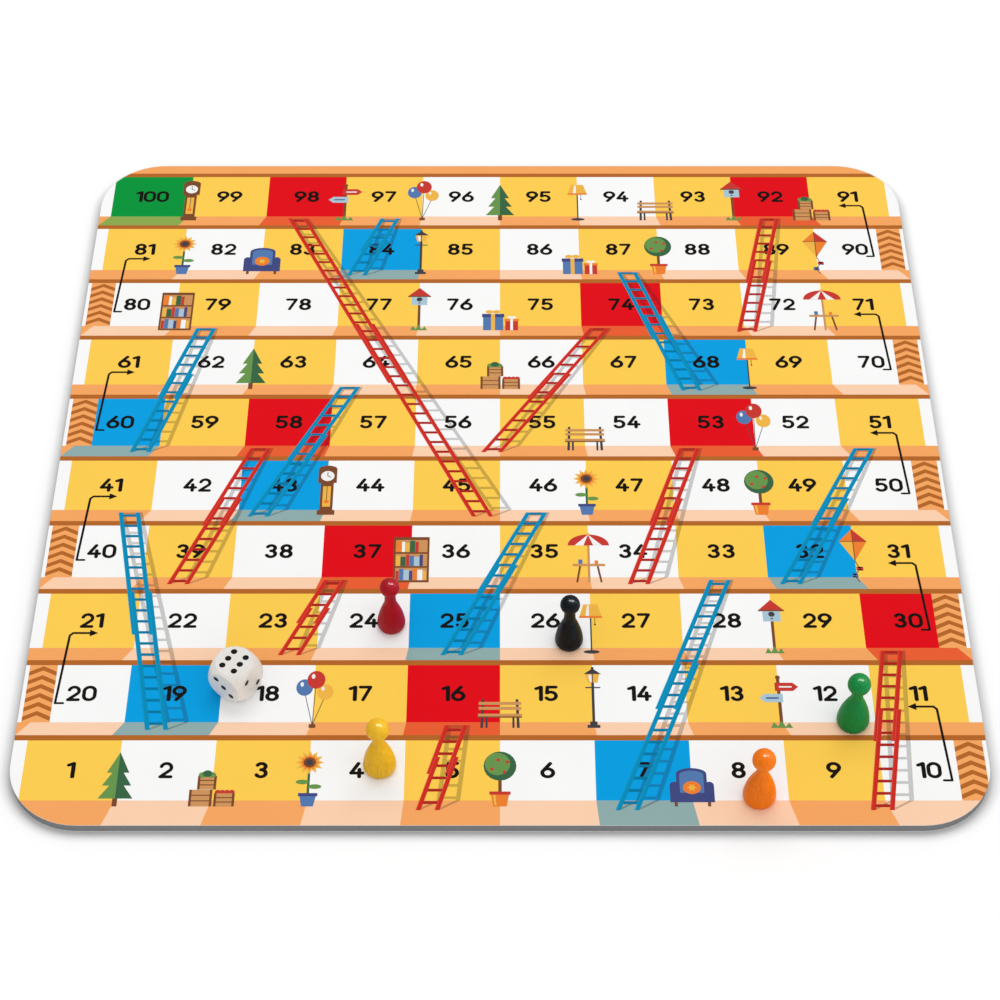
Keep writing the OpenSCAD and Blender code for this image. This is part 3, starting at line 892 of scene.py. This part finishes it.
def kite():
    turns = [(0, 9.6), (1.3, 6), (-0.7, 3), (0.8, 0.2)]
    return [
        *[("dark", bar(*high, *low, 0.3)) for high, low in zip(turns, turns[1:])],
        ("red", [(0.2, 5.4), (0.2, 7), (2.5, 5.2), (2.5, 6.9)]),
        ("blue", [(-1.7, 2.3), (-1.7, 3.9), (0.5, 2.1), (0.5, 3.8)]),
        ("orange", [(0, 24), (4.8, 18.4), (0, 9.6), (-4.8, 18.4)]),
        ("red", [(0, 24), (4.8, 18.4), (0, 18.4)]), ("ochre", [(0, 18.4), (-4.8, 18.4), (0, 9.6)]),
        ("brown", bar(0, 24, 0, 9.6, 0.32)), ("brown", bar(-4.8, 18.4, 4.8, 18.4, 0.32)),
    ]


def crate(x, y, width, height):
    right, top = x + width, y + height
    gaps = [y + height / 3, y + height * 2 / 3]
    return [
        ("wood", box(x, y, right, top)),
        *[("brown", box(x, gap - 0.2, right, gap + 0.2)) for gap in gaps],
        ("brown", box(x, y, x + 0.8, top)), ("brown", box(right - 0.8, y, right, top)),
    ]


def crates():
    apples = [("red", disc(1.9 + 1.5 * k, 5.4, 0.95)) for k in range(4)]
    return [
        *crate(-7.2, 0, 7.4, 6.4), *apples, *crate(0.8, 0, 6.6, 5), *crate(-4.8, 6.5, 6, 5.2),
        ("leaf", disc(-3.2, 12.1, 1.5, 1.1)), ("leaf", disc(-0.6, 12.1, 1.5, 1.1)),
        ("pine", disc(-1.9, 12.6, 1.5, 1.3)),
    ]


def signpost():
    return [
        ("brown", bar(0, 0, 0, 20.4, 1.1)),
        ("red", [(-1.2, 15), (4.8, 15), (6.6, 16.7), (4.8, 18.4), (-1.2, 18.4)]),
        ("white", box(0.2, 16.4, 4.4, 17)),
        ("sky", [(1.2, 10.4), (-4.8, 10.4), (-6.6, 12.1), (-4.8, 13.8), (1.2, 13.8)]),
        ("navy", box(-4.4, 11.8, -0.2, 12.4)), ("brown", disc(0, 20.6, 0.8)),
        ("leaf", grass(3.6)),
    ]


def floor_clock():
    return [
        ("brown", box(-3.1, 0, 3.1, 2.2)), ("brown", box(-2.3, 2, 2.3, 15)),
        ("ochre", box(-1.4, 3.8, 1.4, 13.4)), ("dark", bar(0, 13.4, 0, 6.5, 0.25)),
        ("orange", disc(0, 6.2, 0.9)), ("brown", box(-3.3, 15, 3.3, 21.6)),
        ("brown", disc(0, 21.6, 3.3, 1.7, 180)), ("white", disc(0, 18.3, 2.4)),
        ("dark", bar(0, 18.3, 0, 20.1, 0.3)), ("dark", bar(0, 18.3, 1.3, 17.7, 0.3)),
    ]


def bookshelf():
    drawn = [("brown", box(-6.2, 0, 6.2, 20.4)), ("wood", box(-5.5, 0.9, 5.5, 19.7))]
    inks = ("red", "navy", "ochre", "blue", "orange", "pine", "sky", "white")
    for shelf in range(3):
        x, y = -5.3, 1 + 6.3 * shelf
        for k in range(7 - shelf):
            wide, tall = 1.1 + 0.35 * ((k + shelf) % 3), 4.1 + 0.5 * ((2 * k + shelf) % 3)
            ink = inks[(3 * k + 2 * shelf) % len(inks)]
            drawn.append((ink, box(x, y, x + wide, y + tall)))
            x += wide + 0.12
        drawn.append(("brown", box(-5.6, y + 5.5, 5.6, y + 6.2)))
    return drawn


def armchair():
    return [
        *both("brown", box(-5.8, 0, -4.8, 1.8)), ("navy", disc(0, 12.6, 4.9, 2.2)),
        ("navy", box(-4.9, 4, 4.9, 12.6)), ("blue", disc(0, 12.2, 3.9, 1.6)),
        ("blue", box(-3.9, 4, 3.9, 12.2)), ("navy", box(-6.6, 1.6, 6.6, 5.2)),
        *both("navy", disc(-5.6, 8, 1.5)), *both("navy", box(-7.1, 1.6, -4.1, 8)),
        ("orange", disc(0, 7.2, 2.9, 2.5)), ("ochre", star(0, 7.2, 1.6, 0.8, 6)),
    ]


def floor_lamp():
    return [
        ("dark", disc(0, 0.6, 2.7, 0.75)), ("dark", bar(0, 0.6, 0, 17, 0.5)),
        ("ochre", [(-3.9, 15.3), (3.9, 15.3), (2.4, 21), (-2.4, 21)]),
        ("white", [(-1.7, 16), (-0.5, 16), (-0.5, 20.6), (-1.1, 20.6)]),
        ("orange", [(-3.95, 15.1), (3.95, 15.1), (3.75, 16), (-3.75, 16)]),
        ("dark", bar(1.4, 12.4, 1.4, 15.1, 0.2)), ("dark", disc(1.4, 12.3, 0.35)),
    ]


# Where each picture stands: row of the board, and pictures on the borders between squares
PICTURES = {
    0: {1: fir, 2: crates, 3: sunflower, 5: round_tree, 7: armchair},
    1: {3: balloons, 5: bench, 6: street_lamp, 8: signpost},
    2: {6: floor_lamp, 8: bird_house},
    3: {4: bookshelf, 6: parasol, 9: kite},
    4: {3: floor_clock, 6: sunflower, 8: round_tree},
    5: {6: bench, 8: balloons},
    6: {2: fir, 5: crates, 8: floor_lamp},
    7: {1: bookshelf, 4: bird_house, 5: gifts, 9: parasol},
    8: {1: sunflower, 2: armchair, 4: street_lamp, 6: gifts, 7: round_tree, 9: kite},
    9: {1: floor_clock, 3: signpost, 4: balloons, 5: fir, 6: floor_lamp, 7: bench,
        8: bird_house, 9: crates},
}
PICTURE_SLOTS = {
    "red": "red_print", "orange": "orange_print", "ochre": "yellow_print",
    "brown": "brown_print", "wood": "peach_print", "navy": "blue_print", "blue": "blue_print",
    "sky": "teal_print", "dark": "black_print", "white": "white_paper", "leaf": "olive_print",
    "pine": "green_print",
}


class BOARD_OT_print_pictures(bpy.types.Operator):
    """Print the small pictures beside the numbers, one piece for each colour"""

    bl_idname = "board.print_pictures"
    bl_label = "Pictures"

    def execute(self, context):
        look = looks().pictures
        inks = {name: bmesh.new() for name in PICTURE_SLOTS}
        for row, pictures in PICTURES.items():
            for column, draw in pictures.items():
                x, y = on_field(column, row)
                for layer, (ink, points) in enumerate(draw()):
                    placed = [
                        (x + px * MM * look.size, y - look.forward + py * MM * look.size)
                        for px, py in points
                    ]
                    height = PRINT_Z + look.first_layer + layer * look.layer
                    add_slab(inks[ink], placed, PRINT_Z, height)
        for ink, bm in inks.items():
            material = printed(f"picture_{ink}", getattr(look, ink))
            mesh = as_mesh(bm, f"pictures_{ink}")
            mesh_piece(f"pictures_{ink}", mesh, material, "board")
        return {"FINISHED"}


# Pawns and die

# Steps of a pawn's profile over its edge, foot, flank and ball, and its sides
EDGE_STEPS, FOOT_STEPS, FLANK_STEPS, BALL_STEPS, PAWN_SIDES = 6, 16, 64, 24, 96
# Where rings of points lie on the flat that a pawn stands on, in shares of its radius
STAND_RINGS = (0.5, 0.9)
# The neck softens the flank from the first radius inwards, and fully once it is less by the
# second, both as shares of the body's width
SOFT_FROM_SHARE, SOFT_OVER_SHARE = 0.42, 0.14
# Softness of the crease below the ball, as a share of the neck's
BALL_BLEND_SHARE = 0.55
# Angle in degrees above which an edge of a pawn stays sharp
SHARP_ANGLE = 60
# The die's points round a rim, steps across it, points over the whole ball, sides of a pip
# and steps over its lip
RIM_SIDES, RIM_STEPS, BALL_POINTS, PIP_SIDES, LIP_STEPS = 96, 6, 7000, 40, 4
# How far the ball's points stay below the rims, and the bevel at the bottom of a pip
BALL_CLEARANCE, PIP_BEVEL = 0.12 * MM, 0.03 * MM
# Distances of the six's pips across and along their rows, in shares of the other faces' offset
SIX_ACROSS, SIX_ALONG = 0.86, 1.2


def soft_max(a, b, softness):
    return (a + b + math.sqrt((a - b) ** 2 + softness ** 2)) / 2


def pawn_profile(look, body, head, height):
    """Radius and height from the foot to the top of the ball: the part's, with a softer neck."""
    bulge = body / 2 - look.foot_round
    turn_z = look.foot_round_z + look.foot_round * math.sin(look.flank_turn)
    reach = look.flank - look.foot_round
    flank_x = bulge - reach * math.cos(look.flank_turn)
    flank_z = look.foot_round_z - reach * math.sin(look.flank_turn)
    ball_z = height - head / 2

    def foot(z):
        return bulge + math.sqrt(look.foot_round ** 2 - (z - look.foot_round_z) ** 2)

    edge = look.foot_edge
    stand = foot(edge) - edge
    points = [(0, 0)] + [(stand * at, 0) for at in STAND_RINGS]
    for k in range(EDGE_STEPS + 1):
        t = math.pi / 2 * k / EDGE_STEPS
        points.append((stand + edge * math.sin(t), edge * (1 - math.cos(t))))
    for k in range(1, FOOT_STEPS):
        z = edge + (turn_z - edge) * k / FOOT_STEPS
        points.append((foot(z), z))
    for k in range(FLANK_STEPS + 1):
        z = turn_z + (ball_z - turn_z) * k / FLANK_STEPS
        flank = flank_x + math.sqrt(max(0, look.flank ** 2 - (z - flank_z) ** 2))
        fade = min(1, max(0, (body * SOFT_FROM_SHARE - flank) / (body * SOFT_OVER_SHARE)))
        lower = soft_max(max(flank, 0), look.neck / 2, look.blend * fade)
        ball = math.sqrt(max(0, (head / 2) ** 2 - (z - ball_z) ** 2))
        blend = look.blend * BALL_BLEND_SHARE if ball > 0 else 0
        points.append((soft_max(lower, ball, blend), z))
    for k in range(1, BALL_STEPS):
        t = math.pi / 2 * k / BALL_STEPS
        points.append((head / 2 * math.cos(t), ball_z + head / 2 * math.sin(t)))
    return points + [(0, height)]


class BOARD_OT_turn_pawns(bpy.types.Operator):
    """Turn and lacquer the five pawns"""

    bl_idname = "board.turn_pawns"
    bl_label = "Pawns"

    def execute(self, context):
        look = looks().pawns
        for name in ("red", "black", "yellow", "green", "orange"):
            low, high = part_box(f"pawn_{name}")
            slim = name in ("red", "black")
            body = look.slim if slim else look.stout
            head = look.slim_head if slim else look.stout_head
            axis = Vector(((low.x + high.x) / 2, (low.y + high.y) / 2, low.z))
            bm = bmesh.new()
            profile = pawn_profile(look, body, head, high.z - low.z)
            add_lathe(bm, profile, PAWN_SIDES, Matrix.Translation(axis))
            bmesh.ops.recalc_face_normals(bm, faces=bm.faces)
            slot = f"{name}_lacquer"
            material = lacquered(slot, SLOT_COLOUR[slot], axis.z)
            mesh = as_mesh(bm, f"turned_pawn_{name}")
            piece = mesh_piece(
                f"turned_pawn_{name}", mesh, material, f"{name}_pawn", SHARP_ANGLE
            )
            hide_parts(f"pawn_{name}")
        return {"FINISHED"}


def pip_places(count, offset):
    """Places of the pips on a face, as the part has them."""
    if count == 6:
        across, along = SIX_ACROSS * offset, SIX_ALONG * offset
        return [(x * across, y * along) for x in (-1, 1) for y in (-1, 0, 1)]
    places = [(0, 0)] if count % 2 else []
    places += [(-offset, offset), (offset, -offset)] if count > 1 else []
    return places + ([(offset, offset), (-offset, -offset)] if count > 3 else [])


def face_turn(turns):
    x, y, z = (math.radians(t) for t in turns)
    return Matrix.Rotation(z, 4, "Z") @ Matrix.Rotation(y, 4, "Y") @ Matrix.Rotation(x, 4, "X")


class BOARD_OT_mould_die(bpy.types.Operator):
    """Mould the die, with round faces, soft rims and hollows for its pips"""

    bl_idname = "board.mould_die"
    bl_label = "Die"

    def execute(self, context):
        look = looks().die
        low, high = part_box("die_body")
        where = Matrix.Translation((low + high) / 2) @ Matrix.Rotation(look.turn, 4, "Z")
        body = self.shell(look, where)
        cutters = self.cutters(look, where)
        material = moulded("ivory_plastic", SLOT_COLOUR["ivory_plastic"])
        blank = bpy.data.objects.new("die_blank", body)
        cutter = bpy.data.objects.new("pip_cutter", cutters)
        for helper in (blank, cutter):
            context.scene.collection.objects.link(helper)
        cut = blank.modifiers.new("Pips", "BOOLEAN")
        cut.operation, cut.solver, cut.object = "DIFFERENCE", "EXACT", cutter
        body.shade_smooth()
        even = blank.modifiers.new("Even normals", "WEIGHTED_NORMAL")
        even.keep_sharp = True
        depsgraph = context.evaluated_depsgraph_get()
        mesh = bpy.data.meshes.new_from_object(blank.evaluated_get(depsgraph))
        for helper in (blank, cutter):
            bpy.data.objects.remove(helper)
        piece = mesh_piece("moulded_die", mesh, material, "die")
        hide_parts("die_body")
        repaint("die_pips", painted("pip_paint", SLOT_COLOUR["pip_paint"]))
        return {"FINISHED"}

    def shell(self, look, where):
        """The hull of a ball cut by six planes, with a round rim between plane and ball."""
        half, ball, rim = look.edge / 2, look.ball / 2, look.rim
        centre_z = half - rim
        centre_r = math.sqrt((ball - rim) ** 2 - centre_z ** 2)
        meet = math.atan2(centre_r, centre_z)
        bm = bmesh.new()
        for _, turns in DIE_FACES:
            turned = face_turn(turns)
            for s in range(RIM_STEPS + 1):
                t = meet * s / RIM_STEPS
                r, z = centre_r + rim * math.sin(t), centre_z + rim * math.cos(t)
                for p in circle(r, z, RIM_SIDES):
                    bm.verts.new(turned @ p)
        highest = centre_z + rim * math.cos(meet) - BALL_CLEARANCE
        # The ball's points lie evenly along a spiral from its top to its bottom
        golden = math.pi * (3 - math.sqrt(5))
        for k in range(BALL_POINTS):
            z = 1 - 2 * (k + 0.5) / BALL_POINTS
            r = math.sqrt(1 - z * z)
            p = ball * Vector((r * math.cos(golden * k), r * math.sin(golden * k), z))
            if max(abs(c) for c in p) < highest:
                bm.verts.new(p)
        hull = bmesh.ops.convex_hull(bm, input=bm.verts)
        spare = [v for v in hull["geom_interior"] if isinstance(v, bmesh.types.BMVert)]
        bmesh.ops.delete(bm, geom=spare, context="VERTS")
        flat = [
            f for f in bm.faces
            if all(max(abs(c) for c in v.co) > half - IN_FACE for v in f.verts)
        ]
        bmesh.ops.dissolve_faces(bm, faces=flat)
        bmesh.ops.recalc_face_normals(bm, faces=bm.faces)
        bmesh.ops.transform(bm, matrix=where, verts=bm.verts)
        return as_mesh(bm, "die_blank")

    def cutters(self, look, where):
        radius, depth, lip = look.pip / 2, look.pip_depth, look.pip_lip
        profile = [
            (0, -depth), (radius / 2, -depth), (radius - PIP_BEVEL, -depth),
            (radius, -depth + PIP_BEVEL),
        ]
        for k in range(LIP_STEPS + 1):
            t = math.pi / 2 * k / LIP_STEPS
            profile.append((radius + lip * (1 - math.cos(t)), lip * (math.sin(t) - 1)))
        profile += [(radius + lip, lip), (0, lip)]
        bm = bmesh.new()
        for count, turns in DIE_FACES:
            for x, y in pip_places(count, look.pip_offset):
                at = Matrix.Translation((x, y, look.edge / 2))
                add_lathe(bm, profile, PIP_SIDES, where @ face_turn(turns) @ at)
        bmesh.ops.recalc_face_normals(bm, faces=bm.faces)
        return as_mesh(bm, "pip_cutter")


# Stage

# Directions in which the lamps stand, and the brightest side of the room
LAMP_SIDES = {
    "key_lamp": (0.04, 0.44, 0.9), "glint_lamp": (0.236, 0.118, 0.963),
    "side_lamp": (0.82, 0.2, 0.53),
}
BRIGHT_SIDE = (0.45, -0.79, 0.42)
# Half the width of the floor, in metres, and how far it lies below the board
FLOOR_HALF, FLOOR_GAP = 4.0, 0.05 * MM
# Width of the camera's picture, in millimetres, and the nearest that it sees, in metres
FILM_WIDTH, NEAR_LIMIT = 36, 0.01
WHITE, BLACK = (1, 1, 1, 1), (0, 0, 0, 1)


class BOARD_OT_set_stage(bpy.types.Operator):
    """Set the floor, the light and the camera"""

    bl_idname = "board.set_stage"
    bl_label = "Stage"

    def execute(self, context):
        look = looks().stage
        self.floor(context, look)
        self.light(context, look)
        self.camera(context, look)
        context.scene.view_settings.view_transform = "Standard"
        return {"FINISHED"}

    def floor(self, context, look):
        """A matt floor that fades to white far away and darkens where the board's edge shades it, a
        shadow painted from ambient occlusion for the camera.
        """
        bm = bmesh.new()
        bmesh.ops.create_grid(bm, x_segments=1, y_segments=1, size=FLOOR_HALF)
        bmesh.ops.translate(bm, vec=(0, 0, -FLOOR_GAP), verts=bm.verts)
        floor = bpy.data.objects.new("studio_floor", as_mesh(bm, "studio_floor"))
        context.scene.collection.objects.link(floor)
        material = bpy.data.materials.new("studio_floor")
        wire = empty_tree(material)

        def glow(tint, strength):
            return wire.node("ShaderNodeEmission", None, {"Color": tint, "Strength": strength})

        def mixed(factor, first, second):
            return wire.node("ShaderNodeMixShader", None, {0: factor, 1: first, 2: second})

        seen = wire.node("ShaderNodeLightPath", output="Is Camera Ray")
        matt = wire.node("ShaderNodeBsdfDiffuse", None, {"Color": (*look.floor, 1)})
        lift = glow(WHITE, seen * look.floor_lift)
        near = wire.node("ShaderNodeAddShader", None, {0: matt, 1: lift})
        place = wire.node("ShaderNodeTexCoord", output="Object")
        fade = wire.node(
            "ShaderNodeMapRange", {"interpolation_type": "SMOOTHSTEP"},
            {"Value": wire.vector("LENGTH", place, output="Value"),
             "From Min": look.fade_start, "From Max": look.fade_end},
        )
        whole = mixed(seen * fade, near, glow(WHITE, 1.0))
        # Painted shadow: the camera sees the floor mixed towards black where ambient occlusion finds
        # the board's edge close by
        open_sky = wire.node(
            "ShaderNodeAmbientOcclusion", None, {"Distance": look.shadow_reach}, output="AO"
        )
        painted_shadow = seen * look.shadow_depth * (1 - open_sky)
        shaded = mixed(painted_shadow, whole, glow(BLACK, 1.0))
        wire.node("ShaderNodeOutputMaterial", None, {"Surface": shaded})
        floor.data.materials.append(material)

    def light(self, context, look):
        """A room that is brighter on one side, a lamp for all and two for the pawns alone."""
        world = bpy.data.worlds.new("studio")
        wire = empty_tree(world)
        ray = wire.node("ShaderNodeTexCoord", output="Generated")
        towards = Vector(BRIGHT_SIDE).normalized()
        front = wire.vector("DOT_PRODUCT", ray, tuple(towards), output="Value")
        level = look.sky_level + look.front_level * wire.math("MAXIMUM", front, 0.0)
        mirrored = wire.node("ShaderNodeLightPath", output="Is Glossy Ray")
        level = level * (1 - (1 - look.mirror_level) * mirrored)
        seen = wire.node("ShaderNodeLightPath", output="Is Camera Ray")
        level = level * (1 - seen) + seen
        sky = wire.node("ShaderNodeBackground", None, {"Color": WHITE, "Strength": level})
        wire.node("ShaderNodeOutputWorld", None, {"Surface": sky})
        context.scene.world = world
        key = self.lamp(context, "key_lamp", (look.key_width, look.key_height), look.key_power)
        key.visible_glossy = False
        glint = self.lamp(
            context, "glint_lamp", (look.glint_width, look.glint_height), look.glint_power
        )
        glint.visible_diffuse = False
        side = self.lamp(
            context, "side_lamp", (look.side_width, look.side_height), look.side_power
        )
        lacquered_pieces = bpy.data.collections.new("lacquered_pieces")
        for piece in context.scene.objects:
            if piece.name.startswith("turned_pawn"):
                lacquered_pieces.objects.link(piece)
        for lamp in (glint, side):
            lamp.light_linking.receiver_collection = lacquered_pieces

    def lamp(self, context, name, size, power):
        """A broad lamp that faces the board."""
        light = bpy.data.lights.new(name, "AREA")
        light.shape = "RECTANGLE"
        light.size, light.size_y = size
        light.energy = power
        lamp = bpy.data.objects.new(name, light)
        back = Vector(LAMP_SIDES[name]).normalized()
        side = (Vector((1, 0, 0)) - back.x * back).normalized()
        lamp.location = back * looks().stage.lamp_distance
        lamp.rotation_euler = Matrix((side, back.cross(side), back)).transposed().to_euler()
        context.scene.collection.objects.link(lamp)
        return lamp

    def camera(self, context, look):
        camera = bpy.data.cameras.new("camera")
        camera.lens, camera.sensor_width = look.lens, FILM_WIDTH
        camera.clip_start = NEAR_LIMIT
        eye = bpy.data.objects.new("camera", camera)
        eye.location = (
            0, -look.forward - look.distance * math.cos(look.elevation),
            PRINT_Z + look.distance * math.sin(look.elevation),
        )
        eye.rotation_euler = (math.pi / 2 - look.elevation, 0, 0)
        context.scene.collection.objects.link(eye)
        context.scene.camera = eye


class BOARD_PT_looks(bpy.types.Panel):
    """Lists the pieces of the board game and what can be changed on them"""

    bl_idname = "BOARD_PT_looks"
    bl_label = "Board game"
    bl_space_type = "VIEW_3D"
    bl_region_type = "UI"
    bl_category = "Board game"

    def draw(self, context):
        look = context.scene.board_game_looks
        groups = (
            (look.ink, BOARD_OT_print_board), (look.ladders, BOARD_OT_trim_ladders),
            (look.pictures, BOARD_OT_print_pictures), (look.pawns, BOARD_OT_turn_pawns),
            (look.die, BOARD_OT_mould_die), (look.stage, BOARD_OT_set_stage),
        )
        for group, operator in groups:
            area = self.layout.box()
            area.operator(operator.bl_idname)
            for name in group.__annotations__:
                area.prop(group, name)


CLASSES = (
    PrintLooks, LadderLooks, PictureLooks, PawnLooks, DieLooks, StageLooks, BoardGameLooks,
    BOARD_OT_print_board, BOARD_OT_trim_ladders, BOARD_OT_print_pictures, BOARD_OT_turn_pawns,
    BOARD_OT_mould_die, BOARD_OT_set_stage, BOARD_PT_looks,
)


def register():
    for looks_class in CLASSES:
        bpy.utils.register_class(looks_class)
    bpy.types.Scene.board_game_looks = bpy.props.PointerProperty(
        type=BoardGameLooks, name="Board game", description="Looks of the board game"
    )


def unregister():
    del bpy.types.Scene.board_game_looks
    for looks_class in reversed(CLASSES):
        bpy.utils.unregister_class(looks_class)


def main():
    register()
    bpy.ops.board.print_board()
    bpy.ops.board.trim_ladders()
    bpy.ops.board.print_pictures()
    bpy.ops.board.turn_pawns()
    bpy.ops.board.mould_die()
    bpy.ops.board.set_stage()
    bpy.context.view_layer.update()


if __name__ == "__main__":
    main()
